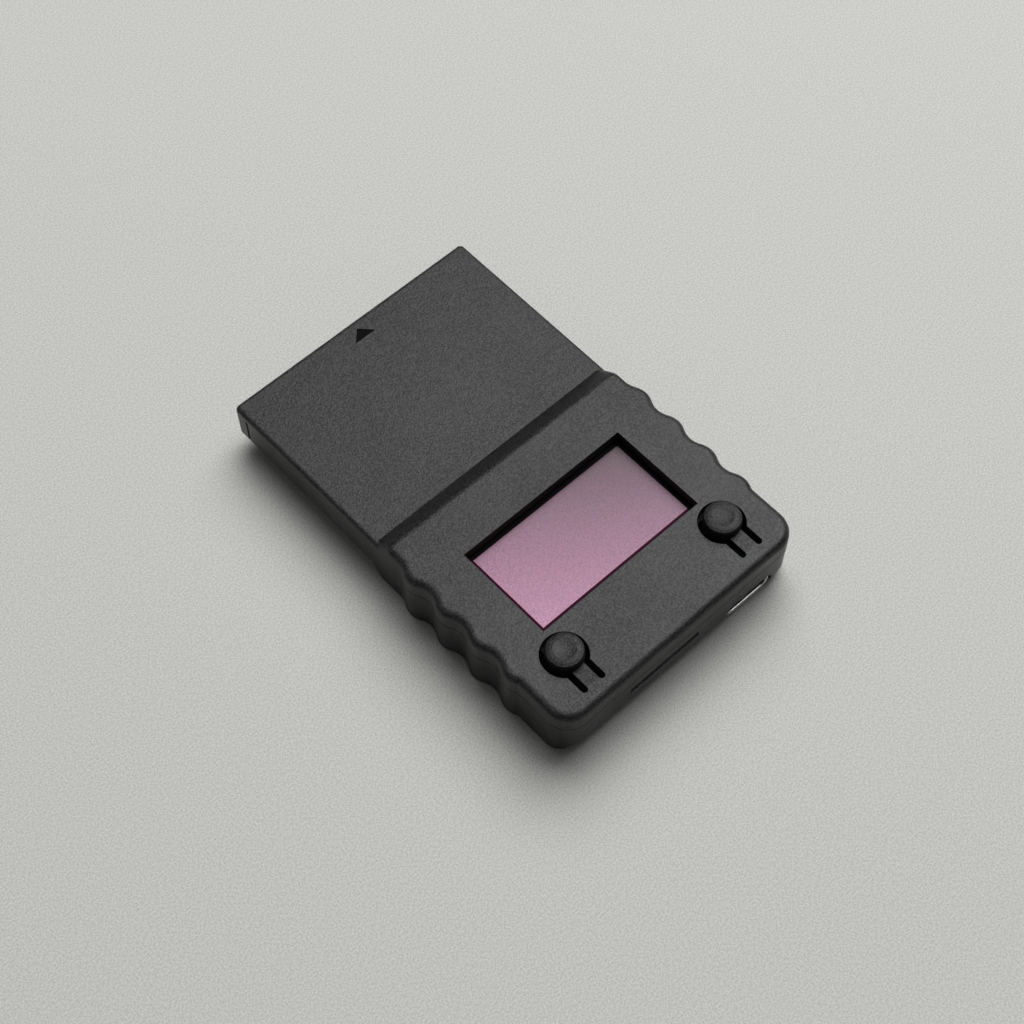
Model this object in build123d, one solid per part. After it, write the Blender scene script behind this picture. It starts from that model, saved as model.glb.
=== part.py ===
from build123d import *
from math import atan2, cos, sin, sqrt, tan
import os

# A console memory card with a display window, two flexing push buttons and an edge connector.
# Millimetres. X runs across the card, +Y points to the end that goes into the console, +Z is up.
# The origin is under the middle of the card, on the surface that it lies on.

# Lengths along the card, from the console end to the hand end
insert_length = 31.8
crease_to_window = 10.9
window_length = 16.4
window_to_buttons = 4.5
buttons_to_end = 8.4

# Widths across the card
window_width = 30.2
window_side = 7.5
scallop_depth = 0.9
button_outboard = 0.3

# Heights, from the resting surface up
socket_skin = 1.3
usb_height = 3.16
usb_stand_height = 1.5
board_thickness = 1.2
carrier_thickness = 0.6
glass_thickness = 1.4
gasket_thickness = 0.4
roof = 1.74
step_height = 2.1
insert_roof = 1.2
insert_bottom = 2.7

# Outer form
scallop_count = 4
first_valley = 5.0
end_flank = 4.2
end_flank_out = 0.35
end_corner_radius = 3.9
front_corner_radius = 0.8
ramp_length = 2.85
ramp_ridge_radius = 1.6
ramp_overlap = 1.0
ramp_wall = 0.813
wall_draft = 0.75
grip_edge_radius = 1.3
insert_edge_radius = 0.75
base_chamfer = 0.5
end_toe_radius = 3.7
under_slope = 2.5
insert_base_edge = 0.4
insert_overlap = 3.0

# Walls and joints of the two shells
side_wall = 1.5
end_wall = 1.6
floor_wall = 1.0
front_wall = 2.5
front_gap = 0.45
lip_height = 0.7
lip_width = 0.6
lip_clearance = 0.1
seam_height = 0.15
seam_depth = 0.25
rib_wall = 0.8
rib_depth = 1.2

# Buttons
button_hole = 7.1
cap_diameter = 5.65
cap_rise = 2.0
cap_dome_radius = 9.0
cap_edge = 0.6
dish_diameter = 3.4
dish_radius = 6.0
tongue_width = 2.2
tongue_thickness = 1.0
tongue_reach = 2.6
slot_width = 1.05
post_diameter = 2.2
press_clearance = 0.06

# Switches on the board
switch_size = 3.2
switch_height = 1.4
plunger_diameter = 1.8
plunger_rise = 0.35
plunger_stroke = 0.4
plunger_collar = 0.5
plunger_clearance = 0.05

# Arrow on the insert
arrow_base = 3.85
arrow_height = 2.0
arrow_from_front = 1.6
arrow_depth = 0.3

# Edge connector
mouth_width = 36.0
mouth_edge = 0.2
board_setback = 4.0
contact_count = 12
contact_pitch = 2.5
contact_width = 1.6
contact_length = 6.0
contact_thickness = 0.1

# Board
board_clearance = 0.4
boss_inset = 6.1
boss_from_crease = 3.6
boss_radius = 2.5
top_boss_radius = 1.9
ledge_width = 2.6
ledge_margin = 4.0
post_radius = 1.5
post_inset = 4.1

# Screws
screw_diameter = 2.0
screw_tip_room = 0.3
screw_hole = 2.3
screw_pilot = 2.1
head_diameter = 3.6
head_height = 1.2
head_recess = 2.0
counterbore = 4.0
driver_slot = 0.6
driver_depth = 0.5

# Display
film_margin = 0.75
film_thickness = 0.15
glass_side = 2.15
glass_below = 1.75
ledge_above = 4.85
glass_clearance = 0.15
gasket_border = 1.5
gasket_setback = 0.2
carrier_setback = 4.0
ribbon_width = 12.0
ribbon_thickness = 0.15
ribbon_reach = 0.5
ribbon_foot = 2.5

# Charging socket
usb_width = 8.94
usb_wall = 0.3
usb_depth = 7.3
usb_inboard = 9.1
usb_recess = 0.6
usb_clearance = 0.15
usb_stand_width = 5.6
usb_stand_setback = 1.0
usb_back = 2.0
usb_tongue_width = 6.7
usb_tongue_thickness = 0.7
usb_tongue_setback = 0.7
fit_clearance = 0.05

# Storage card socket
slot_offset = -3.8
card_slot_width = 13.4
card_slot_height = 1.2
socket_cover = 0.2
socket_base = 0.3
socket_space = 0.8
socket_width = 14.2
socket_depth = 14.5
socket_rail = 0.9
socket_setback = 0.3

# Chips on the underside of the board
controller_size = (10.0, 10.0, 1.0)
controller_place = (-9.0, 9.0)
memory_size = (8.0, 6.0, 0.9)
memory_place = (5.0, 9.0)
regulator_size = (3.0, 3.0, 1.0)
regulator_place = (13.5, 12.5)
crystal_size = (3.2, 2.5, 0.8)
crystal_place = (-9.0, 17.5)
passive_size = (1.6, 0.8, 0.7)
passive_rows = 2
passive_columns = 4
passive_pitch = 2.4
passive_place = (6.0, 16.0)

# Places worked out from the sizes above
grip_length = crease_to_window + window_length + window_to_buttons + buttons_to_end
card_length = insert_length + grip_length
front_y = card_length / 2
end_y = -card_length / 2
crease_y = front_y - insert_length
ramp_angle = atan2(step_height, ramp_length)
ridge_reach = ramp_ridge_radius * tan(ramp_angle / 2)
ridge_y = crease_y - ramp_length
ramp_top_y = ridge_y - ridge_reach
grip_front_y = crease_y + ramp_overlap
window_y = crease_y - crease_to_window - window_length / 2
button_y = end_y + buttons_to_end
insert_half = window_width / 2 + window_side
inner_half = insert_half - side_wall
inner_end_y = end_y + end_wall
button_x = window_width / 2 + button_outboard
root_y = button_y - button_hole / 2 - tongue_reach + slot_width / 2
board_bottom = socket_skin + usb_height + usb_stand_height
board_top = board_bottom + board_thickness
glass_bottom = board_top + carrier_thickness
glass_top = glass_bottom + glass_thickness
roof_under = glass_top + gasket_thickness
grip_height = roof_under + roof
insert_top = grip_height - step_height
parting = insert_top - insert_roof
tongue_under = grip_height - tongue_thickness
pilot_top = roof_under - rib_wall / 2
switch_top = board_top + switch_height
plunger_top = switch_top + plunger_rise
insert_floor = insert_bottom + insert_roof
cavity_front_y = ramp_top_y - ramp_wall
frame_back_y = front_y - front_wall
board_front_y = front_y - board_setback
board_end_y = inner_end_y + board_clearance
boss_x = insert_half - boss_inset
boss_y = crease_y - boss_from_crease
glass_half = window_width / 2 + glass_side
glass_low_y = window_y - window_length / 2 - glass_below
glass_high_y = window_y + window_length / 2 + ledge_above
usb_middle_z = socket_skin + usb_height / 2
usb_offset = insert_half - usb_inboard
usb_front_y = end_y + usb_recess
socket_front_y = inner_end_y + socket_setback
card_bottom = board_bottom - socket_base - socket_space
sides = (-1, 1)


def block(x, y, z):
    """Box between pairs of limits along X, Y and Z."""
    spans = (x, y, z)
    size = [high - low for low, high in spans]
    middle = [(low + high) / 2 for low, high in spans]
    return Pos(*middle) * Box(*size)


def post(x, y, radius, low, high):
    """Upright cylinder between two heights."""
    return Pos(x, y, (low + high) / 2) * Cylinder(radius, high - low)


def obround(x, z, width, height, near_y, far_y):
    """Bar along Y with a round-ended section."""
    section = Plane.XZ * SlotOverall(width, height)
    return Pos(x, far_y, z) * extrude(section, far_y - near_y)


def grip_plan():
    """Plan of the hand end, reaching a little way into the insert: wavy flanks and two rounded corners."""
    wave = (grip_length - first_valley - end_flank - end_corner_radius) / (4 * scallop_count)
    middle_x = insert_half + scallop_depth / 2
    valley_y = crease_y - first_valley
    runs = [Line((0, grip_front_y), (insert_half, grip_front_y))]
    runs.append(Line((insert_half, grip_front_y), (insert_half, valley_y)))
    stops = [(middle_x, valley_y - (2 * i + 1) * wave) for i in range(2 * scallop_count)]
    flank_x = insert_half + end_flank_out
    settle = 1 - 2 * end_flank_out / scallop_depth
    stops.append((flank_x, valley_y - (4 * scallop_count - 1 + settle) * wave))
    heading = Vector(0, -1)
    start = Vector(insert_half, valley_y)
    for stop in stops:
        runs.append(TangentArc(start, stop, tangent=heading))
        start = runs[-1] @ 1
        heading = runs[-1] % 1
    corner_start = (flank_x, end_y + end_corner_radius)
    corner_stop = (flank_x - end_corner_radius, end_y)
    runs.append(Line(start, corner_start))
    runs.append(TangentArc(corner_start, corner_stop, tangent=(0, -1)))
    runs.append(Line(corner_stop, (0, end_y)))
    half = Curve() + runs
    return make_face(half.edges() + mirror(half, about=Plane.YZ).edges())


def insert_plan():
    """Plan of the console end, reaching a little way into the hand end."""
    low_y = crease_y - insert_overlap
    sheet = Pos(0, (low_y + front_y) / 2) * Rectangle(2 * insert_half, front_y - low_y)
    corners = sheet.vertices().filter_by(lambda corner: corner.Y > crease_y)
    return fillet(corners, front_corner_radius)


def button_cut(side):
    """Keyhole in the roof: a round hole, two slots and the room for the tongue between them."""
    x = side * button_x
    reach = tongue_width / 2 + slot_width
    height = (roof_under - roof, grip_height + roof)
    cut = post(x, button_y, button_hole / 2, *height)
    cut += block((x - reach, x + reach), (root_y, button_y), height)
    for hand in sides:
        cut += post(x + hand * (reach - slot_width / 2), root_y, slot_width / 2, *height)
    return cut


def lower_form():
    """Outer form below the parting plane: drafted walls and rounded lower edges."""
    grip = extrude(Pos(0, 0, parting) * grip_plan(), parting, dir=(0, 0, -1), taper=wall_draft)
    toe_start = (end_y + end_toe_radius, 0)
    toe = TangentArc(toe_start, (end_y, end_toe_radius), tangent=(-1, 0))
    crest = [toe @ 1, (end_y, parting), (grip_front_y, parting), (grip_front_y, insert_bottom)]
    sides_of_profile = Polyline(*crest, (grip_front_y - under_slope, 0), toe_start)
    profile = Plane.YZ * make_face(toe.edges() + sides_of_profile.edges())
    grip &= extrude(profile, 2 * insert_half, both=True)
    rim = grip.faces().sort_by(Axis.Z)[0].edges().filter_by(lambda edge: edge.length < insert_half)
    grip = chamfer(rim, base_chamfer)
    depth = parting - insert_bottom
    insert = extrude(Pos(0, 0, parting) * insert_plan(), depth, dir=(0, 0, -1), taper=wall_draft)
    under = insert.faces().sort_by(Axis.Z)[0].edges().filter_by(lambda edge: edge.center().Y > crease_y)
    return grip, fillet(under, insert_base_edge)


def front_frame(insert):
    """Front of the insert with its connector mouth, moulded with the top shell."""
    wide = 2 * insert_half
    frame = insert & block((-wide, wide), (frame_back_y, front_y + front_wall), (0, parting))
    mouth_z = (insert_floor + mouth_edge, parting - mouth_edge)
    return frame - block((-mouth_width / 2, mouth_width / 2), (crease_y, front_y + front_wall), mouth_z)


def top_shell():
    """Upper shell: raised grip with its ramp, window and keyholes, thin insert plate and front frame."""
    wide = 2 * insert_half
    grip = extrude(grip_plan(), grip_height)
    toe_y = ridge_y + grip_height / tan(ramp_angle)
    crown = Polyline((toe_y, 0), (end_y, 0), (end_y, grip_height), (ramp_top_y, grip_height))
    slope_start = (ridge_y + ridge_reach * cos(ramp_angle), grip_height - ridge_reach * sin(ramp_angle))
    ridge = TangentArc(crown @ 1, slope_start, tangent=(1, 0))
    ramp = Line(ridge @ 1, (toe_y, 0))
    section = Plane.YZ * make_face(crown.edges() + ridge.edges() + ramp.edges())
    grip &= extrude(section, wide, both=True)
    top = grip.faces().sort_by(Axis.Z)[-1]
    rim = top.edges().filter_by(lambda edge: edge.center().Y < ramp_top_y - fit_clearance)
    slope = grip.edges().filter_by(lambda edge: edge.center().Y > ramp_top_y and edge.center().Z > parting)
    slope = slope.filter_by(lambda edge: abs(edge.center().X) > insert_half - fit_clearance)
    grip = fillet(rim + slope, grip_edge_radius)
    grip -= block((-wide, wide), (2 * end_y, 2 * front_y), (0, parting))
    insert = extrude(Pos(0, 0, parting) * insert_plan(), insert_roof)
    edges = insert.faces().sort_by(Axis.Z)[-1].edges().filter_by(lambda edge: edge.center().Y > crease_y - 1)
    body = grip + fillet(edges, insert_edge_radius) + front_frame(lower_form()[1])
    body -= block((-inner_half, inner_half), (inner_end_y, cavity_front_y), (parting, roof_under))
    groove = inner_half + lip_width + lip_clearance
    groove_y = (inner_end_y - lip_width - lip_clearance, cavity_front_y)
    body -= block((-groove, groove), groove_y, (parting, parting + lip_height + lip_clearance))
    half_window = window_width / 2
    window_span = (window_y - window_length / 2, window_y + window_length / 2)
    pocket_x = glass_half + glass_clearance
    pocket_y = (glass_low_y - glass_clearance, glass_high_y + glass_clearance)
    rib_z = (roof_under - rib_depth, roof_under)
    rib_y = (pocket_y[0] - rib_wall, pocket_y[1] - ledge_above)
    rib = block((-pocket_x - rib_wall, pocket_x + rib_wall), rib_y, rib_z)
    body += rib - block((-pocket_x, pocket_x), pocket_y, rib_z)
    for side in sides:
        body += post(side * boss_x, boss_y, top_boss_radius, board_top, roof_under)
        body -= post(side * boss_x, boss_y, screw_pilot / 2, board_top, pilot_top)
        body -= button_cut(side)
    body -= block((-half_window, half_window), window_span, (roof_under - roof, grip_height + roof))
    apex_y = front_y - arrow_from_front
    base_y = apex_y - arrow_height
    arrow = Polyline((0, apex_y), (-arrow_base / 2, base_y), (arrow_base / 2, base_y), close=True)
    body -= Pos(0, 0, insert_top - arrow_depth) * extrude(make_face(arrow), arrow_depth)
    return body


def bottom_shell():
    """Lower shell: drafted tray with board ledges, screw bosses, a seam lip and the two sockets' openings."""
    wide = 2 * insert_half
    grip, insert = lower_form()
    body = grip + insert
    body -= block((-wide, wide), (frame_back_y - front_gap, front_y + front_wall), (0, grip_height))
    body -= block((-inner_half, inner_half), (inner_end_y, cavity_front_y), (floor_wall, parting))
    body -= block((-inner_half, inner_half), (cavity_front_y, front_y), (insert_floor, parting))
    ledge_y = (crease_y + ledge_margin, board_front_y - ledge_margin)
    for side in sides:
        ledge_x = sorted((side * inner_half, side * (inner_half - ledge_width)))
        body += block(ledge_x, ledge_y, (insert_floor, board_bottom))
        body += post(side * boss_x, boss_y, boss_radius, floor_wall, board_bottom)
        body += post(side * (insert_half - post_inset), window_y, post_radius, floor_wall, board_bottom)
        body -= post(side * boss_x, boss_y, counterbore / 2, 0, head_recess)
        body -= post(side * boss_x, boss_y, screw_hole / 2, 0, board_bottom)
    lip_half = inner_half + lip_width
    lip_z = (parting, parting + lip_height)
    lip = block((-lip_half, lip_half), (inner_end_y - lip_width, cavity_front_y), lip_z)
    body += lip - block((-inner_half, inner_half), (inner_end_y, front_y), lip_z)
    seam = extrude(Pos(0, 0, parting - seam_height) * grip_plan(), seam_height)
    seam -= extrude(Pos(0, 0, parting - seam_height) * offset(grip_plan(), -seam_depth), seam_height)
    body -= seam - block((-wide, wide), (cavity_front_y, front_y), (0, grip_height))
    usb_room = usb_width + 2 * usb_clearance
    usb_tall = usb_height + 2 * usb_clearance
    body -= obround(usb_offset, usb_middle_z, usb_room, usb_tall, end_y - end_wall, usb_front_y + usb_depth + 1)
    slot_half = card_slot_width / 2
    slot_z = (card_bottom - fit_clearance, card_bottom - fit_clearance + card_slot_height)
    body -= block((slot_offset - slot_half, slot_offset + slot_half), (end_y - end_wall, inner_end_y), slot_z)
    return body


def cap_form():
    """Turned button cap on its own axis: straight side, twice-broken edge, low dome and a shallow dish."""
    crown = grip_height + cap_rise - cap_dome_radius
    edge = cap_diameter / 2 - cap_edge
    ring = dish_diameter / 2
    dome_stops = [(r, crown + sqrt(cap_dome_radius**2 - r**2)) for r in (edge, (edge + ring) / 2, ring)]
    bowl = dome_stops[-1][1] + sqrt(dish_radius**2 - ring**2)
    dish_stops = [(r, bowl - sqrt(dish_radius**2 - r**2)) for r in (ring, ring / 2, 0)]
    shoulder = dome_stops[0][1] - cap_edge
    half_edge = cap_edge * sqrt(0.5)
    edge_stops = [(cap_diameter / 2, shoulder), (edge + half_edge, shoulder + half_edge), dome_stops[0]]
    foot = [(0, tongue_under), (cap_diameter / 2, tongue_under)]
    outline = Polyline(dish_stops[-1], *foot, *edge_stops)
    arcs = ThreePointArc(*dome_stops).edges() + ThreePointArc(*dish_stops).edges()
    return revolve(Plane.XZ * make_face(outline.edges() + arcs), Axis.Z)


def push_button(side):
    """Round cap on a thin tongue that bends at its root, with a post over the switch."""
    x = side * button_x
    cap = Pos(x, button_y, 0) * cap_form()
    half = tongue_width / 2
    cap += block((x - half, x + half), (root_y, button_y), (tongue_under, grip_height))
    return cap + post(x, button_y, post_diameter / 2, plunger_top + press_clearance, tongue_under)


def switch_body(side):
    """Square switch housing with a stepped well for its plunger."""
    x = side * button_x
    half = switch_size / 2
    body = block((x - half, x + half), (button_y - half, button_y + half), (board_top, switch_top))
    body = chamfer(body.edges().filter_by(Axis.Z), plunger_stroke)
    stem = plunger_diameter / 2 + plunger_clearance
    body -= post(x, button_y, stem, board_top, switch_top)
    collar_top = switch_top - plunger_collar + plunger_clearance
    return body - post(x, button_y, stem + plunger_collar, board_top, collar_top)


def switch_plunger(side):
    """Round plunger with a collar that keeps it in the switch housing."""
    x = side * button_x
    collar_top = switch_top - plunger_collar
    collar_low = collar_top - plunger_collar
    stem = post(x, button_y, plunger_diameter / 2, collar_low, plunger_top)
    return stem + post(x, button_y, plunger_diameter / 2 + plunger_collar, collar_low, collar_top)


def main_board():
    """Circuit board from the connector mouth to the sockets at the hand end."""
    half = inner_half - board_clearance
    board = block((-half, half), (board_end_y, board_front_y), (board_bottom, board_top))
    for side in sides:
        board -= post(side * boss_x, boss_y, screw_hole / 2, board_bottom, board_top)
    return board


def edge_contacts():
    """Row of plated fingers at the front of the board."""
    fingers = []
    for i in range(contact_count):
        x = (i - (contact_count - 1) / 2) * contact_pitch
        span = (x - contact_width / 2, x + contact_width / 2)
        height = (board_top, board_top + contact_thickness)
        fingers.append(block(span, (board_front_y - contact_length, board_front_y), height))
    return Compound(children=fingers)


def display_glass():
    """Display panel glass with its connection ledge on the console side."""
    return block((-glass_half, glass_half), (glass_low_y, glass_high_y), (glass_bottom, glass_top))


def display_film():
    """Tinted front film over the picture area, set in from the window on all sides."""
    half = window_width / 2 - film_margin
    reach = window_length / 2 - film_margin
    return block((-half, half), (window_y - reach, window_y + reach), (glass_top, glass_top + film_thickness))


def display_gasket():
    """Soft frame between the glass and the roof, just outside the window."""
    inner_x = window_width / 2 + gasket_setback
    inner_y = window_length / 2 + gasket_setback
    height = (glass_top, roof_under)
    outer_x = inner_x + gasket_border
    outer_y = inner_y + gasket_border
    frame = block((-outer_x, outer_x), (window_y - outer_y, window_y + outer_y), height)
    return frame - block((-inner_x, inner_x), (window_y - inner_y, window_y + inner_y), height)


def display_carrier():
    """Foam pad that holds the display off the board."""
    span = (glass_low_y, glass_high_y - carrier_setback)
    return block((-glass_half, glass_half), span, (board_top, glass_bottom))


def display_ribbon():
    """Flat ribbon that leaves the edge of the glass, turns down and lies back on the board."""
    low = board_top + ribbon_thickness / 2
    high = glass_bottom + glass_thickness / 2
    turn_y = glass_high_y + ribbon_reach
    top = Line((glass_high_y, high), (turn_y, high))
    bend = TangentArc((turn_y, high), (turn_y, low), tangent=(1, 0))
    foot = Line((turn_y, low), (glass_high_y - ribbon_foot, low))
    strip = trace(Curve() + [top, bend, foot], ribbon_thickness)
    return extrude(Plane.YZ * strip, ribbon_width / 2, both=True)


def usb_shell():
    """Drawn metal tube of the charging socket, under the board."""
    back_y = usb_front_y + usb_depth
    tube = obround(usb_offset, usb_middle_z, usb_width, usb_height, usb_front_y, back_y)
    bore = obround(usb_offset, usb_middle_z, usb_width - 2 * usb_wall, usb_height - 2 * usb_wall, usb_front_y, back_y)
    return tube - bore


def usb_stand():
    """Moulded riser that sets the charging socket below the board."""
    half = usb_stand_width / 2
    span = (usb_front_y + usb_stand_setback, usb_front_y + usb_depth)
    return block((usb_offset - half, usb_offset + half), span, (board_bottom - usb_stand_height, board_bottom))


def usb_tongue():
    """Insulator at the back of the charging socket with its thin contact tongue."""
    back_y = usb_front_y + usb_depth
    shrink = 2 * (usb_wall + fit_clearance)
    plug = obround(usb_offset, usb_middle_z, usb_width - shrink, usb_height - shrink, back_y - usb_back, back_y)
    half = usb_tongue_width / 2
    height = (usb_middle_z - usb_tongue_thickness / 2, usb_middle_z + usb_tongue_thickness / 2)
    reach = (usb_front_y + usb_tongue_setback, back_y - usb_back)
    return plug + block((usb_offset - half, usb_offset + half), reach, height)


def card_socket_shell():
    """Folded metal cover of the storage card socket."""
    half = socket_width / 2
    span = (socket_front_y, socket_front_y + socket_depth)
    cover = block((slot_offset - half, slot_offset + half), span, (card_bottom - socket_cover, board_bottom))
    room = half - socket_cover
    inside = (socket_front_y, socket_front_y + socket_depth - socket_cover)
    return cover - block((slot_offset - room, slot_offset + room), inside, (card_bottom, board_bottom))


def card_socket_base():
    """Moulded base of the storage card socket: a thin plate with a rail on each side."""
    half = socket_width / 2 - socket_cover - fit_clearance
    span = (socket_front_y, socket_front_y + socket_depth - socket_cover - fit_clearance)
    base = block((slot_offset - half, slot_offset + half), span, (board_bottom - socket_base, board_bottom))
    for side in sides:
        rail = sorted((slot_offset + side * half, slot_offset + side * (half - socket_rail)))
        base += block(rail, span, (card_bottom, board_bottom))
    return base


def chip(size, place, edge):
    """Moulded chip on the underside of the board, placed from the crease."""
    width, length, height = size
    x = place[0]
    y = crease_y - place[1]
    body = block((x - width / 2, x + width / 2), (y - length / 2, y + length / 2), (board_bottom - height, board_bottom))
    return chamfer(body.faces().sort_by(Axis.Z)[0].edges(), edge)


def chip_passives():
    """Small rows of resistors and capacitors beside the chips."""
    parts = []
    for row in range(passive_rows):
        for column in range(passive_columns):
            place = (passive_place[0] + column * passive_pitch, passive_place[1] + row * passive_pitch)
            parts.append(chip(passive_size, place, fit_clearance))
    return Compound(children=parts)


def case_screws():
    """Two slotted screws that hold the shells and the board together."""
    screws = []
    for side in sides:
        x = side * boss_x
        head_low = head_recess - head_height
        screw = post(x, boss_y, head_diameter / 2, head_low, head_recess)
        screw += post(x, boss_y, screw_diameter / 2, head_recess, pilot_top - screw_tip_room)
        half = driver_slot / 2
        long = head_diameter
        screw -= block((x - long, x + long), (boss_y - half, boss_y + half), (head_low, head_low + driver_depth))
        screws.append(screw)
    return Compound(children=screws)


nodes = {
    "top_shell": top_shell(),
    "bottom_shell": bottom_shell(),
    "main_board": main_board(),
    "edge_contacts": edge_contacts(),
    "display_glass": display_glass(),
    "display_film": display_film(),
    "display_gasket": display_gasket(),
    "display_carrier": display_carrier(),
    "display_ribbon": display_ribbon(),
    "usb_shell": usb_shell(),
    "usb_stand": usb_stand(),
    "usb_tongue": usb_tongue(),
    "card_socket_shell": card_socket_shell(),
    "card_socket_base": card_socket_base(),
    "controller_chip": chip(controller_size, controller_place, fit_clearance),
    "memory_chip": chip(memory_size, memory_place, fit_clearance),
    "regulator": chip(regulator_size, regulator_place, fit_clearance),
    "crystal": chip(crystal_size, crystal_place, fit_clearance),
    "chip_passives": chip_passives(),
    "case_screws": case_screws(),
}
for hand, side in (("left", -1), ("right", 1)):
    nodes[hand + "_button"] = push_button(side)
    nodes[hand + "_switch_body"] = switch_body(side)
    nodes[hand + "_switch_plunger"] = switch_plunger(side)

os.makedirs("parts", exist_ok=True)
for name, shape in nodes.items():
    export_step(shape, f"parts/{name}.step")
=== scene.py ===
from math import radians

import bmesh
import bpy
from bpy.props import FloatProperty, FloatVectorProperty, IntProperty, PointerProperty
from bpy.types import Operator, Panel, PropertyGroup
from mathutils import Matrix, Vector


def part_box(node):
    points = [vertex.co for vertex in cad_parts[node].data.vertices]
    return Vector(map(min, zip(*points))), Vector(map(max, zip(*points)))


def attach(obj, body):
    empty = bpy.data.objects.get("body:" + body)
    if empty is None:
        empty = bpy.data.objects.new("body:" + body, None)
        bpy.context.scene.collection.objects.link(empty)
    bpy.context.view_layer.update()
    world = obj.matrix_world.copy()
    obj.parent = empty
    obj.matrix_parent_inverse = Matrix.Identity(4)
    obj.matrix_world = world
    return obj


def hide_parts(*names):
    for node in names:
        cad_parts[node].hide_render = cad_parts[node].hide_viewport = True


bl_info = {
    "name": "Console memory card",
    "version": (1, 0, 0),
    "blender": (4, 5, 0),
    "location": "3D View > Sidebar > Memory card",
    "description": "Finishes and small parts of a console memory card with a display and two buttons",
    "category": "Object",
}

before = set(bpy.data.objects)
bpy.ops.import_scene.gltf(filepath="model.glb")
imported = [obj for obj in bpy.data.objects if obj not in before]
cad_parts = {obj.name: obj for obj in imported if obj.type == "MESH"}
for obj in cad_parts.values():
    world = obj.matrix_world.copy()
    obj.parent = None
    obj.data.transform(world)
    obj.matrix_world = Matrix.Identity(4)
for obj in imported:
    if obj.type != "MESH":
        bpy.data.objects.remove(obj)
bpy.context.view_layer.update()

# Metres in a millimetre: sizes in the settings are written in millimetres and used in metres.
MM = 0.001
# Places closer than this, in metres, are the same.
SAME_PLACE = 1e-7
# Body of everything but the buttons and the plungers.
CASE = "case"

film_low, film_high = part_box("display_film")
tongue_low, tongue_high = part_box("usb_tongue")
tube_low, tube_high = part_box("usb_shell")
shell_low, shell_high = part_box("top_shell")

# Refraction of each finish. The fine grain dulls the shells and caps, and the ink is nearly without gloss.
SHELL_IOR = 1.41
CAP_IOR = 1.36
RESIN_IOR = 1.5
FILM_IOR = 1.35
INK_IOR = 1.1

# Spans that hold most of a noise pattern's values.
WIDE_NOISE = (0.3, 0.7)
NARROW_NOISE = (0.35, 0.65)

# Patterns, in cycles per metre.
HANDLING_PER_METRE = 60.0
RESIN_PER_METRE = 900.0
FOAM_PER_METRE = 4000.0
INK_PER_METRE = 6000.0
FILM_PER_METRE = 5000.0
FLOOR_PER_METRE = 3600.0
DRAWN_LINES_PER_METRE = (9000.0, 300.0, 9000.0)

# Lamps: place of the middle and length of a side, in metres.
KEY_PLACE = (0.6, 0.42, 1.1)
KEY_SIDE = 1.25
FILL_PLACE = (-0.6, -0.5, 0.6)
FILL_SIDE = 0.6
OVER_PLACE = (0.58, 0.08, 1.1)
OVER_SIDE = 1.25
LEFT_PLACE = (-0.5, 0.4, 1.0)
LEFT_SIDE = 0.7

# Camera: its place, the point that it faces, its sensor's width in millimetres and its near limit in metres.
EYE = Vector((-101.42, -110.33, 253.53)) * MM
TARGET = Vector((-4.544, -5.263, 9.2)) * MM
SENSOR_WIDTH = 36.0
NEAR_LIMIT = 0.01


# Settings that a user would change


def colour(label, about, value):
    """Colour setting with its name, use and default."""
    limits = {"size": 3, "min": 0, "max": 1}
    return FloatVectorProperty(name=label, description=about, subtype="COLOR", default=value, **limits)


def length(label, about, value):
    """Length setting in metres, from a default in millimetres."""
    kind = {"subtype": "DISTANCE", "unit": "LENGTH"}
    return FloatProperty(name=label, description=about, default=value * MM, **kind)


def share(label, about, value):
    """Setting from nothing to all."""
    return FloatProperty(name=label, description=about, subtype="FACTOR", min=0, max=1, default=value)


def power(label, about, value):
    """Power of a lamp in watts."""
    return FloatProperty(name=label, description=about, subtype="POWER", default=value)


def count(label, about, value, least):
    """Number of like things."""
    return IntProperty(name=label, description=about, default=value, min=least)


class CardShellSettings(PropertyGroup):
    """Moulded charcoal plastic of the shells and buttons."""

    tone: colour("Shell", "Colour of the moulded shells", (0.005, 0.005, 0.0052))
    button_tone: colour("Buttons", "Colour of the button caps", (0.0045, 0.0045, 0.0047))
    grain: length("Grain", "Size of the moulded grain", 0.26)
    grain_depth: length("Grain depth", "Depth of the moulded grain", 0.08)
    roughness: share("Roughness", "Roughness of the moulded surface", 0.38)
    button_roughness: share("Button roughness", "Roughness of the button caps", 0.42)
    # Painted shade: the walls of the cut-outs in the roof take this darker colour, down to the recess depth.
    recess_shade_tone: colour("Shaded recess walls", "Colour of the walls of the cut-outs", (0.0025, 0.0025, 0.0026))
    recess_inset: length("Recess inset", "Distance of the nearest cut-out from the shell's outside", 1.6)
    recess_depth: length("Recess depth", "How far down the dull walls go", 2.6)
    arrow_tone: colour("Arrow", "Colour of the enamel in the arrow", (0.004, 0.004, 0.004))
    arrow_place: length("Arrow tip", "Distance of the arrow's tip from the middle of the card", 34.3)
    arrow_base: length("Arrow base", "Width of the enamel across the arrow's base", 3.6)
    arrow_height: length("Arrow height", "Length of the enamel along the card", 1.8)
    arrow_low: length("Arrow recess", "Height of the recess that the enamel lies in", 8.9)
    arrow_thickness: length("Enamel", "Thickness of the enamel", 0.2)
    arrow_edge: length("Enamel edge", "Width of the enamel's broken upper edge", 0.08)
    plug_across: length("Plug across", "Distance of a corner plug from the middle of the card", 21.3)
    plug_along: length("Plug along", "Place of the corner plugs along the card", -34.555)
    plug_radius: length("Plug radius", "Radius of the plugs at the seam's two corners", 0.6)
    plug_low: length("Plug foot", "Height of the plugs' lower ends", 8.02)
    plug_height: length("Plug height", "Height of the plugs", 0.95)
    plug_edge: length("Plug edge", "Width of the plugs' broken upper edges", 0.05)
    plug_points: count("Plug points", "Points round a plug", 40, 8)


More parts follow.
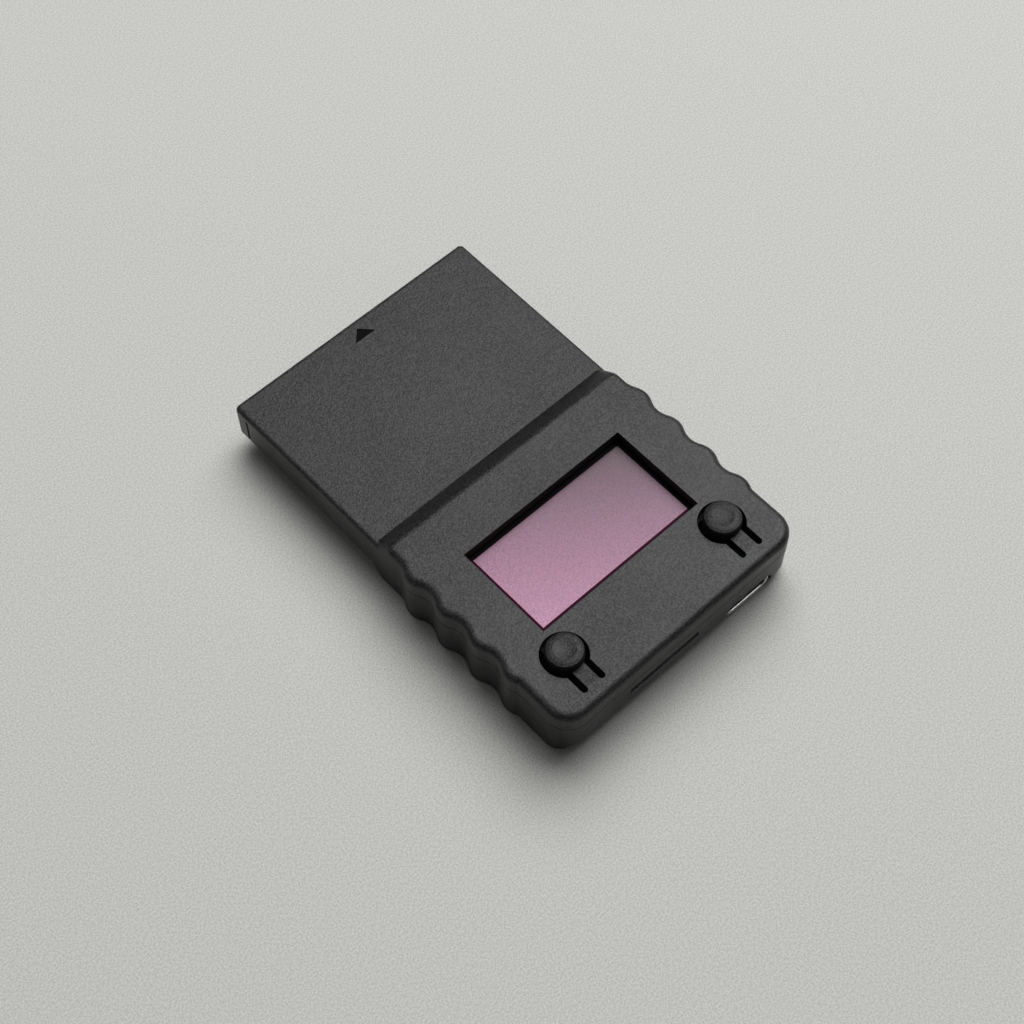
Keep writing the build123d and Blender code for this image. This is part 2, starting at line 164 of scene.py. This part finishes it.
class CardDisplaySettings(PropertyGroup):
    """Display panel and the tinted film on it."""

    # Film tint with painted light: pale with a painted sheen towards the hand end, dark with painted shade
    # towards the far corner.
    film_near_painted_sheen: colour("Film, hand end", "Film colour towards the left hand corner", (0.55, 0.265, 0.42))
    film_far_painted_shade: colour("Film, console end", "Film colour towards the far corner", (0.094, 0.058, 0.07))
    # Colour of the film's cut edge, and also of the painted shade line along the film's left edge and hand
    # end.
    film_edge_and_shade: colour("Film edge", "Colour of the film's cut edge", (0.045, 0.004, 0.02))
    panel: colour("Panel", "Colour of the dark border round the picture", (0.006, 0.006, 0.007))
    corner: length("Film corner", "Radius of the film's corners", 0.25)
    broken_edge: length("Film broken edge", "Width of the film's broken upper edge", 0.04)
    # Painted shade: a thin dark line on the film along its left edge and hand end, where the window's near
    # walls shade it.
    shade_line_side: length("Film border, side", "Width of the glue line along the left edge", 0.34)
    shade_line_end: length("Film border, end", "Width of the glue line along the hand end", 0.4)
    shade_line_rise: length("Film border rise", "Thickness of the glue line on the film", 0.02)


class CardSocketSettings(PropertyGroup):
    """Metal and contacts of the two sockets."""

    metal: colour("Socket metal", "Plated sheet metal", (0.72, 0.72, 0.73))
    gold: colour("Contacts", "Plated contact pads", (0.86, 0.62, 0.24))
    moulding: colour("Socket moulding", "Colour of the sockets' insulators", (0.012, 0.012, 0.012))
    contacts: count("Pads", "Contact pads on each face of the charging tongue", 12, 2)
    pad_width: length("Pad width", "Width of one contact pad", 0.28)
    pad_length: length("Pad length", "Length of one contact pad", 2.6)
    pad_rise: length("Pad rise", "How far a pad stands out of the tongue", 0.05)
    pad_edge: length("Pad edge", "Width of a pad's broken edges", 0.02)
    pad_pitch: length("Pad pitch", "Distance from one pad to the next", 0.5)
    pad_start: length("Pad start", "Distance of the pads from the tongue's tip", 0.4)
    tongue_half: length("Tongue", "Half the thickness of the charging tongue", 0.35)
    rim: length("Tube rim", "Thickness of the rolled rim round the charging tube's mouth", 0.44)
    rim_points: count("Rim points", "Points round the rim's two ends", 32, 8)


class CardBoardSettings(PropertyGroup):
    """Board, chips and screws inside the case."""

    mask: colour("Solder mask", "Colour of the board", (0.005, 0.0065, 0.006))
    chip: colour("Chips", "Colour of the moulded chips", (0.014, 0.014, 0.015))
    foam: colour("Foam", "Colour of the gasket and the carrier", (0.004, 0.004, 0.004))
    amber: colour("Ribbon", "Colour of the display ribbon", (0.45, 0.2, 0.03))
    steel: colour("Screws", "Colour of the plated screws", (0.5, 0.5, 0.52))
    plunger: colour("Plungers", "Colour of the switch plungers", (0.5, 0.5, 0.47))


class CardStageSettings(PropertyGroup):
    """Floor, lamps and camera."""

    floor: colour("Floor", "Colour of the pale floor", (0.675, 0.68, 0.648))
    floor_size: length("Floor size", "Side of the floor", 1800.0)
    key: power("Key lamp", "Power of the large lamp", 20.0)
    fill: power("Fill lamp", "Power of the small lamp", 0.2)
    gloss: power("Gloss panel", "Power of the panel over the card", 19.5)
    left_gloss: power("Left panel", "Power of the left panel", 2.0)
    sky: share("Sky", "Strength of the plain surroundings", 0.05)
    gloss_sky: share("Sky in gloss", "Strength of the surroundings as the gloss sees them", 0.015)
    seen_sky: share("Sky in view", "Strength of the surroundings as the camera sees them", 0.5)
    lens: FloatProperty(name="Lens", description="Focal length of the camera in millimetres", default=69.33)


# Nodes


class Wiring:
    """Adds nodes to a tree and joins them."""

    def __init__(self, tree):
        self.tree = tree

    def add(self, kind, **values):
        """New node with its settings."""
        node = self.tree.nodes.new(kind)
        for name, value in values.items():
            setattr(node, name, value)
        return node

    def put(self, node, inputs):
        """Sets or links a node's inputs: a socket is linked and anything else is a value."""
        for key, value in inputs.items():
            if isinstance(value, bpy.types.NodeSocket):
                self.tree.links.new(value, node.inputs[key])
            else:
                node.inputs[key].default_value = value
        return node

    def place(self):
        """Place on the piece, in its own axes."""
        return self.add("ShaderNodeTexCoord").outputs["Object"]

    def parts(self, vector):
        """The X, Y and Z of a vector."""
        return self.put(self.add("ShaderNodeSeparateXYZ"), {0: vector}).outputs

    def noise(self, vector, scale, detail=2.0, rough=0.5):
        """Noise value along a vector."""
        node = self.add("ShaderNodeTexNoise")
        self.put(node, {"Vector": vector, "Scale": scale, "Detail": detail, "Roughness": rough})
        return node.outputs["Fac"]

    def ramp(self, value, low, high, start=0.0, stop=1.0):
        """Value carried from one span to another, held at the ends."""
        node = self.add("ShaderNodeMapRange")
        spans = {"From Min": low, "From Max": high, "To Min": start, "To Max": stop}
        return self.put(node, {"Value": value, **spans}).outputs["Result"]

    def math(self, kind, first, second=0.0):
        """Sum, product or other combination of two values."""
        node = self.add("ShaderNodeMath", operation=kind)
        return self.put(node, {0: first, 1: second}).outputs[0]

    def blend(self, amount, first, second, kind="MIX"):
        """Two colours mixed by an amount."""
        node = self.add("ShaderNodeMix", data_type="RGBA", blend_type=kind)
        return self.put(node, {0: amount, 6: first, 7: second}).outputs[2]


def solid(rgb, strength=1.0):
    """Colour with full cover, made darker or paler by a strength."""
    return (*(strength * value for value in rgb), 1.0)


def new_group(name, inputs, outputs):
    """Shader node group with named number inputs and outputs, and its wiring."""
    tree = bpy.data.node_groups.new(name, "ShaderNodeTree")
    for way, labels in (("INPUT", inputs), ("OUTPUT", outputs)):
        for label in labels:
            tree.interface.new_socket(label, in_out=way, socket_type="NodeSocketFloat")
    wiring = Wiring(tree)
    return tree, wiring, wiring.add("NodeGroupInput").outputs, wiring.add("NodeGroupOutput")


def moulded_grain():
    """Fine spark-eroded grain: a height for bump and a light and dark speckle."""
    coarse_step = 0.3
    coarse_weight = 0.12
    speckle_span = (0.38, 0.66)
    tree, wiring, given, made = new_group("Moulded grain", ["Per metre"], ["Height", "Speckle"])
    place = wiring.place()
    per_metre = given["Per metre"]
    fine = wiring.noise(place, per_metre, detail=3.0, rough=0.6)
    coarse = wiring.noise(place, wiring.math("MULTIPLY", per_metre, coarse_step), detail=2.0)
    height = wiring.math("ADD", fine, wiring.math("MULTIPLY", coarse, coarse_weight))
    wiring.put(made, {"Height": height, "Speckle": wiring.ramp(fine, *speckle_span)})
    return tree


def handling_marks():
    """Broad uneven sheen and faint scuffs left by handling, as two masks."""
    streak_step = 6.0
    streak_span = (0.5, 0.75)
    patch_span = (0.52, 0.68)
    slant = {"Scale": (1.0, 2.2, 1.0), "Rotation": (0.0, 0.0, radians(35))}
    tree, wiring, given, made = new_group("Handling marks", ["Per metre"], ["Sheen", "Scuff"])
    place = wiring.place()
    per_metre = given["Per metre"]
    broad = wiring.noise(place, per_metre, detail=7.0, rough=0.65)
    slanted = wiring.put(wiring.add("ShaderNodeMapping"), {"Vector": place, **slant}).outputs[0]
    streak_per_metre = wiring.math("MULTIPLY", per_metre, streak_step)
    streaks = wiring.noise(slanted, streak_per_metre, detail=6.0, rough=0.7)
    patches = wiring.ramp(broad, *patch_span)
    scuff = wiring.math("MULTIPLY", wiring.ramp(streaks, *streak_span), patches)
    wiring.put(made, {"Sheen": wiring.ramp(broad, *WIDE_NOISE), "Scuff": scuff})
    return tree


def shaded_recess_walls():
    """Mask of the upright walls of cut-outs in the roof, away from the outside of the shell: where painted
    shade goes.
    """
    steep = 0.5
    limits = ["Half width", "Near end", "Depth"]
    tree, wiring, given, made = new_group("Shaded recess walls", limits, ["Recess"])
    place = wiring.parts(wiring.place())
    facing = wiring.parts(wiring.add("ShaderNodeNewGeometry").outputs["Normal"])
    tests = [
        wiring.math("LESS_THAN", wiring.math("ABSOLUTE", facing["Z"]), steep),
        wiring.math("LESS_THAN", wiring.math("ABSOLUTE", place["X"]), given["Half width"]),
        wiring.math("GREATER_THAN", place["Y"], given["Near end"]),
        wiring.math("LESS_THAN", place["Y"], 0.0),
        wiring.math("GREATER_THAN", place["Z"], given["Depth"]),
    ]
    mask = tests[0]
    for test in tests[1:]:
        mask = wiring.math("MULTIPLY", mask, test)
    wiring.put(made, {"Recess": mask})
    return tree


def shared_group(name):
    """A shared node group, built the first time that it is asked for."""
    makers = {
        "Moulded grain": moulded_grain,
        "Handling marks": handling_marks,
        "Shaded recess walls": shaded_recess_walls,
    }
    return bpy.data.node_groups.get(name) or makers[name]()


def new_material(name, **shader_values):
    """Empty procedural material: its wiring and its shader with constant values set."""
    material = bpy.data.materials.new(name)
    material.use_nodes = True
    wiring = Wiring(material.node_tree)
    shader = material.node_tree.nodes["Principled BSDF"]
    wiring.put(shader, {key.replace("_", " "): value for key, value in shader_values.items()})
    return material, wiring, shader


def use_group(wiring, name, **values):
    """Places a shared group in a material and gives its outputs."""
    node = wiring.add("ShaderNodeGroup", node_tree=shared_group(name))
    return wiring.put(node, {key.replace("_", " "): value for key, value in values.items()}).outputs


def moulded_plastic(name, tone, roughness, ior, settings):
    """Grained moulding: speckled colour, uneven sheen, faint scuffs, a fine bump, and painted shade with
    dulled gloss on the walls of the cut-outs.
    """
    dark, pale, worn = (solid(tone, strength) for strength in (0.05, 7.5, 12.0))
    scuff_cover = 0.4
    sheen_swing = 0.1
    recess_dulling = 0.35
    material, wiring, shader = new_material(name, IOR=ior)
    texture = use_group(wiring, "Moulded grain", Per_metre=1.0 / settings.grain)
    marks = use_group(wiring, "Handling marks", Per_metre=HANDLING_PER_METRE)
    speckled = wiring.blend(texture["Speckle"], dark, pale)
    scuffed = wiring.blend(wiring.math("MULTIPLY", marks["Scuff"], scuff_cover), speckled, worn)
    half_width = shell_high.x - settings.recess_inset
    near_end = shell_low.y + settings.recess_inset
    depth = shell_high.z - settings.recess_depth
    walls = use_group(wiring, "Shaded recess walls", Half_width=half_width, Near_end=near_end, Depth=depth)
    # Painted shade: the walls of the cut-outs, and the upright sides of the caps within them, take the
    # darker recess colour.
    mixed = wiring.blend(walls["Recess"], scuffed, solid(settings.recess_shade_tone))
    swing = (roughness + sheen_swing, roughness - sheen_swing)
    sheen = wiring.ramp(marks["Sheen"], 0.0, 1.0, *swing)
    rough = wiring.math("ADD", sheen, wiring.math("MULTIPLY", walls["Recess"], recess_dulling))
    bump = wiring.add("ShaderNodeBump")
    wiring.put(bump, {"Strength": 1.0, "Distance": settings.grain_depth, "Height": texture["Height"]})
    wiring.put(shader, {"Base Color": mixed, "Roughness": rough, "Normal": bump.outputs["Normal"]})
    return material


def smooth_plastic(name, tone, roughness, spread=0.12, per_metre=RESIN_PER_METRE):
    """Unpolished moulding or resin: slight mottling in its colour and roughness."""
    swing = (roughness - 0.05, roughness + 0.05)
    material, wiring, shader = new_material(name, IOR=RESIN_IOR)
    mottle = wiring.noise(wiring.place(), per_metre, detail=3.0)
    mottled = wiring.ramp(mottle, *WIDE_NOISE)
    mixed = wiring.blend(mottled, solid(tone, 1 - spread), solid(tone, 1 + spread))
    wiring.put(shader, {"Base Color": mixed, "Roughness": wiring.ramp(mottle, *WIDE_NOISE, *swing)})
    return material


def matt_ink(name, tone):
    """Dull ink that hardly shines."""
    dark, pale = (solid(tone, strength) for strength in (0.5, 1.5))
    swing = (0.5, 0.7)
    material, wiring, shader = new_material(name, IOR=INK_IOR)
    mottle = wiring.noise(wiring.place(), INK_PER_METRE, detail=2.0)
    rough = wiring.ramp(mottle, 0.0, 1.0, *swing)
    wiring.put(shader, {"Base Color": wiring.blend(mottle, dark, pale), "Roughness": rough})
    return material


def sheet_metal(name, tone, roughness):
    """Plated metal with fine drawn lines."""
    dark = solid(tone, 0.85)
    swing = (roughness - 0.06, roughness + 0.08)
    material, wiring, shader = new_material(name, Metallic=1.0)
    drawn = wiring.add("ShaderNodeMapping")
    wiring.put(drawn, {"Vector": wiring.place(), "Scale": DRAWN_LINES_PER_METRE})
    lines = wiring.noise(drawn.outputs[0], 1.0, detail=2.0)
    mixed = wiring.blend(wiring.ramp(lines, *WIDE_NOISE), dark, solid(tone))
    wiring.put(shader, {"Base Color": mixed, "Roughness": wiring.ramp(lines, *WIDE_NOISE, *swing)})
    return material


def tinted_film(settings):
    """Protective film: its pink tint with painted light, a painted sheen towards the hand end fading to
    painted shade towards the far corner, with a fine silky speckle.
    """
    sheen_drift_along = 1.5
    reach = (film_high.x - film_low.x) * 0.85
    dark, pale = (solid((1.0, 1.0, 1.0), strength) for strength in (0.8, 1.2))
    swing = (0.36, 0.46)
    material, wiring, shader = new_material("Tinted film", IOR=FILM_IOR)
    place = wiring.place()
    parts = wiring.parts(place)
    along = wiring.math("SUBTRACT", parts["Y"], (film_low.y + film_high.y) / 2)
    sheen_drift = wiring.math("ADD", parts["X"], wiring.math("MULTIPLY", along, sheen_drift_along))
    # Painted sheen: the film's colour runs from the pale hand end to the dark far corner.
    sheen_fade = wiring.ramp(sheen_drift, -reach, reach)
    tint_and_sheen = wiring.blend(sheen_fade, solid(settings.film_near_painted_sheen), solid(settings.film_far_painted_shade))
    grain = wiring.noise(place, FILM_PER_METRE, detail=2.0)
    grains = wiring.blend(wiring.ramp(grain, *NARROW_NOISE), dark, pale)
    speckled = wiring.blend(1.0, tint_and_sheen, grains, "MULTIPLY")
    wiring.put(shader, {"Base Color": speckled, "Roughness": wiring.ramp(grain, *WIDE_NOISE, *swing)})
    return material


# Modelling


def deselect():
    """Nothing selected, so that an operator acts on the new piece alone."""
    bpy.ops.object.select_all(action="DESELECT")


def new_block(name, low, high):
    """Block between two corners, added at its size and place, with its place then put in its mesh."""
    deselect()
    middle = (Vector(low) + Vector(high)) / 2
    bpy.ops.mesh.primitive_cube_add(size=1, location=middle)
    piece = bpy.context.active_object
    piece.name = name
    piece.data.name = name
    piece.scale = Vector(high) - Vector(low)
    bpy.ops.object.transform_apply(location=True, rotation=True, scale=True)
    return piece


def bevel_edges(piece, chosen, width, segments):
    """Bevels the edges that a test picks by their two ends."""
    bpy.ops.object.mode_set(mode="EDIT")
    bpy.ops.mesh.select_all(action="DESELECT")
    bpy.ops.mesh.select_mode(type="EDGE")
    cage = bmesh.from_edit_mesh(piece.data)
    for edge in cage.edges:
        edge.select_set(chosen(edge.verts[0].co, edge.verts[1].co))
    bmesh.update_edit_mesh(piece.data)
    bpy.ops.mesh.bevel(offset=width, offset_type="OFFSET", segments=segments, affect="EDGES")
    bpy.ops.object.mode_set(mode="OBJECT")


def shift_points(piece, chosen, shift):
    """Moves the points that a test picks by their place."""
    bpy.ops.object.mode_set(mode="EDIT")
    bpy.ops.mesh.select_mode(type="VERT")
    bpy.ops.mesh.select_all(action="DESELECT")
    cage = bmesh.from_edit_mesh(piece.data)
    for point in cage.verts:
        point.select_set(chosen(point.co))
    bmesh.update_edit_mesh(piece.data)
    bpy.ops.transform.translate(value=shift)
    bpy.ops.object.mode_set(mode="OBJECT")


def upright(first, second):
    """Edge along Z."""
    return abs(first.z - second.z) > SAME_PLACE and (first.xy - second.xy).length < SAME_PLACE


def lying_at(height):
    """Test for edges that lie at one height."""
    return lambda *ends: all(abs(end.z - height) < SAME_PLACE for end in ends)


def paint(material, *nodes):
    """Gives CAD nodes a material."""
    for node in nodes:
        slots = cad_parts[node].data.materials
        slots.clear()
        slots.append(material)


def moved_copy(piece, shift):
    """Copy of a piece with a mesh of its own, moved, with its new place in its mesh."""
    deselect()
    piece.select_set(True)
    bpy.context.view_layer.objects.active = piece
    bpy.ops.object.duplicate(linked=False)
    copy = bpy.context.active_object
    copy.location = shift
    bpy.ops.object.transform_apply(location=True, rotation=True, scale=True)
    return copy


def join_copies(pieces, name):
    """Joins like pieces into one mesh."""
    deselect()
    for piece in pieces:
        piece.select_set(True)
    bpy.context.view_layer.objects.active = pieces[0]
    bpy.ops.object.join()
    pieces[0].name = name
    pieces[0].data.name = name
    return pieces[0]


class CARD_OT_shells(Operator):
    """Moulded finish of the two shells and the two buttons"""

    bl_idname = "card.shells"
    bl_label = "Shells and buttons"

    def execute(self, context):
        settings = context.scene.card_shell
        shell = moulded_plastic("Moulded charcoal", settings.tone, settings.roughness, SHELL_IOR, settings)
        paint(shell, "top_shell", "bottom_shell")
        cap_finish = (settings.button_tone, settings.button_roughness, CAP_IOR)
        paint(moulded_plastic("Moulded caps", *cap_finish, settings), "left_button", "right_button")
        arrow = self.arrow(settings)
        arrow.data.materials.append(matt_ink("Arrow enamel", settings.arrow_tone))
        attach(arrow, CASE)
        plugs = self.plugs(settings)
        plugs.data.materials.append(shell)
        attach(plugs, CASE)
        return {"FINISHED"}

    def arrow(self, settings):
        """Enamel in the arrow's recess: a triangle pointing to the console end, with a broken upper edge."""
        deselect()
        bpy.ops.mesh.primitive_cylinder_add(vertices=3, radius=1, depth=1, location=(0, 0, 0))
        enamel = bpy.context.active_object
        enamel.name = "arrow_enamel"
        enamel.data.name = "arrow_enamel"
        corners_across = max(point.co.x for point in enamel.data.vertices)
        tip = max(point.co.y for point in enamel.data.vertices)
        base = min(point.co.y for point in enamel.data.vertices)
        stretch = settings.arrow_height / (tip - base)
        enamel.scale = (settings.arrow_base / (2 * corners_across), stretch, settings.arrow_thickness)
        middle_z = settings.arrow_low + settings.arrow_thickness / 2
        enamel.location = (0, settings.arrow_place - tip * stretch, middle_z)
        bpy.ops.object.transform_apply(location=True, rotation=True, scale=True)
        top = settings.arrow_low + settings.arrow_thickness
        bevel_edges(enamel, lying_at(top), settings.arrow_edge, segments=2)
        return enamel

    def plugs(self, settings):
        """Upright plugs that close the seam's groove at the two rounded corners of the hand end."""
        deselect()
        top = settings.plug_low + settings.plug_height
        middle_z = settings.plug_low + settings.plug_height / 2
        size = {"radius": settings.plug_radius, "depth": settings.plug_height}
        place = {"location": (settings.plug_across, settings.plug_along, middle_z)}
        bpy.ops.mesh.primitive_cylinder_add(vertices=settings.plug_points, **size, **place)
        bpy.ops.object.transform_apply(location=True, rotation=True, scale=True)
        right = bpy.context.active_object
        bevel_edges(right, lying_at(top), settings.plug_edge, segments=2)
        bpy.ops.object.shade_smooth_by_angle(angle=radians(40))
        left = moved_copy(right, (-2 * settings.plug_across, 0, 0))
        return join_copies([right, left], "corner_plugs")


class CARD_OT_display(Operator):
    """Tinted film with rounded corners over the dark display panel"""

    bl_idname = "card.display"
    bl_label = "Display"

    def execute(self, context):
        settings = context.scene.card_display
        film = new_block("film_sheet", film_low, film_high)
        bevel_edges(film, upright, settings.corner, segments=6)
        bevel_edges(film, lying_at(film_high.z), settings.broken_edge, segments=2)
        film.data.materials.append(tinted_film(settings))
        film.data.materials.append(smooth_plastic("Film cut edge", settings.film_edge_and_shade, roughness=0.3))
        facing_up = 0.9
        for face in film.data.polygons:
            face.material_index = 0 if face.normal.z > facing_up else 1
        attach(film, CASE)
        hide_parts("display_film")
        # Painted shade: a dark line on the film beside the window's near walls.
        shade_line = self.shade_line(settings)
        shade_line.data.materials.append(matt_ink("Painted shade line", settings.film_edge_and_shade))
        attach(shade_line, CASE)
        paint(matt_ink("Dark panel", settings.panel), "display_glass")
        return {"FINISHED"}

    def shade_line(self, settings):
        """Painted shade line along the film's left edge and hand end, where the window's near walls shade
        the film: two thin dark strips with broken upper edges.
        """
        low = film_high.z
        top = low + settings.shade_line_rise
        inner = film_low + Vector((settings.shade_line_side, settings.shade_line_end, 0))
        along_side = ((film_low.x, inner.y, low), (inner.x, film_high.y, top))
        along_end = ((film_low.x, film_low.y, low), (film_high.x, inner.y, top))
        strips = []
        for corners in (along_side, along_end):
            strip = new_block("strip", *corners)
            bevel_edges(strip, lying_at(top), settings.shade_line_rise / 2, segments=1)
            strips.append(strip)
        return join_copies(strips, "film_shade_line")


class CARD_OT_sockets(Operator):
    """Plated tube, card cover and the charging tongue's contact pads"""

    bl_idname = "card.sockets"
    bl_label = "Sockets"

    def execute(self, context):
        settings = context.scene.card_socket
        paint(sheet_metal("Plated sheet", settings.metal, roughness=0.22), "usb_shell", "card_socket_shell")
        moulding = smooth_plastic("Socket moulding", settings.moulding, roughness=0.45)
        paint(moulding, "usb_tongue", "usb_stand", "card_socket_base")
        rim = self.rim(settings)
        rim.data.materials.append(sheet_metal("Rolled rim", settings.metal, roughness=0.18))
        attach(rim, CASE)
        plates = self.pads(settings)
        plates.data.materials.append(sheet_metal("Plated contact", settings.gold, roughness=0.2))
        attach(plates, CASE)
        paint(sheet_metal("Edge contact plating", settings.gold, roughness=0.25), "edge_contacts")
        return {"FINISHED"}

    def rim(self, settings):
        """Rolled rim round the mouth of the charging tube: a round bar along a round-ended loop."""
        deselect()
        bar = settings.rim / 2
        middle = ((tube_low.x + tube_high.x) / 2, tube_low.y, (tube_low.z + tube_high.z) / 2)
        turn = (tube_high.z - tube_low.z) / 2 - bar
        straight = (tube_high.x - tube_low.x) / 2 - bar - turn
        half_step = (0, 0, radians(180 / settings.rim_points))
        bpy.ops.mesh.primitive_circle_add(vertices=settings.rim_points, radius=turn, rotation=half_step)
        bpy.ops.object.transform_apply(location=False, rotation=True, scale=False)
        loop = bpy.context.active_object
        loop.name = "tube_rim"
        shift_points(loop, lambda point: point.x > 0, (straight, 0, 0))
        shift_points(loop, lambda point: point.x < 0, (-straight, 0, 0))
        bpy.ops.object.convert(target="CURVE")
        loop = bpy.context.active_object
        loop.data.bevel_depth = bar
        loop.data.bevel_resolution = 3
        loop.rotation_euler = (radians(90), 0, 0)
        loop.location = middle
        bpy.ops.object.convert(target="MESH")
        bpy.ops.object.transform_apply(location=True, rotation=True, scale=True)
        bpy.ops.object.shade_smooth()
        loop = bpy.context.active_object
        loop.data.name = "tube_rim"
        return loop

    def pads(self, settings):
        """Row of pads on the upper and the lower face of the tongue."""
        middle_x = (tube_low.x + tube_high.x) / 2
        middle_z = (tube_low.z + tube_high.z) / 2
        first_x = middle_x - (settings.contacts - 1) / 2 * settings.pad_pitch
        start_y = tongue_low.y + settings.pad_start
        half_width = settings.pad_width / 2
        pads = []
        for face in (-1, 1):
            inner = middle_z + face * settings.tongue_half
            outer = inner + face * settings.pad_rise
            low = (first_x - half_width, start_y, min(inner, outer))
            high = (first_x + half_width, start_y + settings.pad_length, max(inner, outer))
            pad = new_block("pad", low, high)
            bevel_edges(pad, lying_at(outer), settings.pad_edge, segments=1)
            pads.append(pad)
            shifts = [(number * settings.pad_pitch, 0, 0) for number in range(1, settings.contacts)]
            pads += [moved_copy(pad, shift) for shift in shifts]
        return join_copies(pads, "charging_contacts")


class CARD_OT_board(Operator):
    """Finishes of the board, chips, switches, foam, ribbon and screws"""

    bl_idname = "card.board"
    bl_label = "Board and screws"

    def execute(self, context):
        settings = context.scene.card_board
        paint(matt_ink("Solder mask", settings.mask), "main_board")
        chips = smooth_plastic("Chip resin", settings.chip, roughness=0.55)
        paint(chips, "controller_chip", "memory_chip", "regulator", "chip_passives")
        switches = smooth_plastic("Switch moulding", settings.chip, roughness=0.4)
        paint(switches, "left_switch_body", "right_switch_body")
        plungers = smooth_plastic("Switch plunger", settings.plunger, roughness=0.35)
        paint(plungers, "left_switch_plunger", "right_switch_plunger")
        foam = smooth_plastic("Foam", settings.foam, roughness=0.9, spread=0.3, per_metre=FOAM_PER_METRE)
        paint(foam, "display_gasket", "display_carrier")
        paint(smooth_plastic("Amber ribbon", settings.amber, roughness=0.25), "display_ribbon")
        paint(sheet_metal("Plated screw", settings.steel, roughness=0.3), "case_screws", "crystal")
        return {"FINISHED"}


class CARD_OT_stage(Operator):
    """Pale floor, soft lamps and the camera"""

    bl_idname = "card.stage"
    bl_label = "Stage"

    def execute(self, context):
        settings = context.scene.card_stage
        self.floor(settings)
        self.lamps(settings)
        self.surroundings(context, settings)
        self.camera(context, settings)
        context.scene.view_settings.view_transform = "Standard"
        return {"FINISHED"}

    def floor(self, settings):
        """Large pale sheet under the card."""
        deselect()
        bpy.ops.mesh.primitive_plane_add(size=settings.floor_size, location=(0, 0, 0))
        floor = bpy.context.active_object
        floor.name = "floor"
        dark, pale = (solid(settings.floor, strength) for strength in (0.8, 1.12))
        swing = (0.7, 0.8)
        material, wiring, shader = new_material("Pale floor")
        mottle = wiring.noise(wiring.place(), FLOOR_PER_METRE, detail=2.0, rough=0.6)
        mixed = wiring.blend(wiring.ramp(mottle, *NARROW_NOISE), dark, pale)
        wiring.put(shader, {"Base Color": mixed, "Roughness": wiring.ramp(mottle, 0.0, 1.0, *swing)})
        floor.data.materials.append(material)

    def lamps(self, settings):
        """A key lamp without gloss, a weak one in front, and two panels that only the gloss sees."""
        key = self.lamp("Key lamp", KEY_PLACE, KEY_SIDE, settings.key)
        key.visible_glossy = False
        self.lamp("Fill lamp", FILL_PLACE, FILL_SIDE, settings.fill)
        over = self.lamp("Gloss panel over the card", OVER_PLACE, OVER_SIDE, settings.gloss)
        over.visible_diffuse = False
        left = self.lamp("Gloss panel on the left", LEFT_PLACE, LEFT_SIDE, settings.left_gloss)
        left.visible_diffuse = False

    def lamp(self, name, place, side, watts):
        """Square lamp that faces the card."""
        deselect()
        bpy.ops.object.light_add(type="AREA", location=place)
        lamp = bpy.context.active_object
        lamp.name = name
        lamp.data.size = side
        lamp.data.energy = watts
        lamp.rotation_euler = (-Vector(place)).to_track_quat("-Z", "Y").to_euler()
        return lamp

    def surroundings(self, context, settings):
        """Plain white surroundings: pale to the camera, dim to the card and dark to its gloss."""
        world = bpy.data.worlds.new("Plain surroundings")
        world.use_nodes = True
        wiring = Wiring(world.node_tree)
        rays = wiring.add("ShaderNodeLightPath").outputs
        unseen = wiring.ramp(rays["Is Glossy Ray"], 0.0, 1.0, settings.sky, settings.gloss_sky)
        strength = wiring.ramp(rays["Is Camera Ray"], 0.0, 1.0, unseen, settings.seen_sky)
        background = world.node_tree.nodes["Background"]
        wiring.put(background, {"Color": solid((1.0, 1.0, 1.0)), "Strength": strength})
        context.scene.world = world

    def camera(self, context, settings):
        """Camera above the left hand corner."""
        deselect()
        bpy.ops.object.camera_add(location=EYE)
        camera = bpy.context.active_object
        camera.rotation_euler = (TARGET - EYE).to_track_quat("-Z", "Y").to_euler()
        camera.data.lens = settings.lens
        camera.data.sensor_width = SENSOR_WIDTH
        camera.data.clip_start = NEAR_LIMIT
        context.scene.camera = camera


class CARD_PT_panel(Panel):
    """Sidebar list of the card's parts"""

    bl_idname = "CARD_PT_panel"
    bl_label = "Memory card"
    bl_space_type = "VIEW_3D"
    bl_region_type = "UI"
    bl_category = "Memory card"

    def draw(self, context):
        for operator in part_operators:
            self.layout.operator(operator.bl_idname)
        for name in settings_groups:
            box = self.layout.box()
            group = getattr(context.scene, name)
            for key in group.__annotations__:
                box.prop(group, key)


settings_groups = {
    "card_shell": CardShellSettings,
    "card_display": CardDisplaySettings,
    "card_socket": CardSocketSettings,
    "card_board": CardBoardSettings,
    "card_stage": CardStageSettings,
}
part_operators = (CARD_OT_shells, CARD_OT_display, CARD_OT_sockets, CARD_OT_board, CARD_OT_stage)


def register():
    """Adds the settings, operators and panel."""
    for name, group in settings_groups.items():
        bpy.utils.register_class(group)
        setattr(bpy.types.Scene, name, PointerProperty(type=group))
    for operator in part_operators:
        bpy.utils.register_class(operator)
    bpy.utils.register_class(CARD_PT_panel)


def unregister():
    """Removes them again."""
    bpy.utils.unregister_class(CARD_PT_panel)
    for operator in reversed(part_operators):
        bpy.utils.unregister_class(operator)
    for name, group in settings_groups.items():
        delattr(bpy.types.Scene, name)
        bpy.utils.unregister_class(group)


def main():
    """Makes the whole card on its stage."""
    register()
    bpy.ops.card.shells()
    bpy.ops.card.display()
    bpy.ops.card.sockets()
    bpy.ops.card.board()
    bpy.ops.card.stage()


if __name__ == "__main__":
    main()
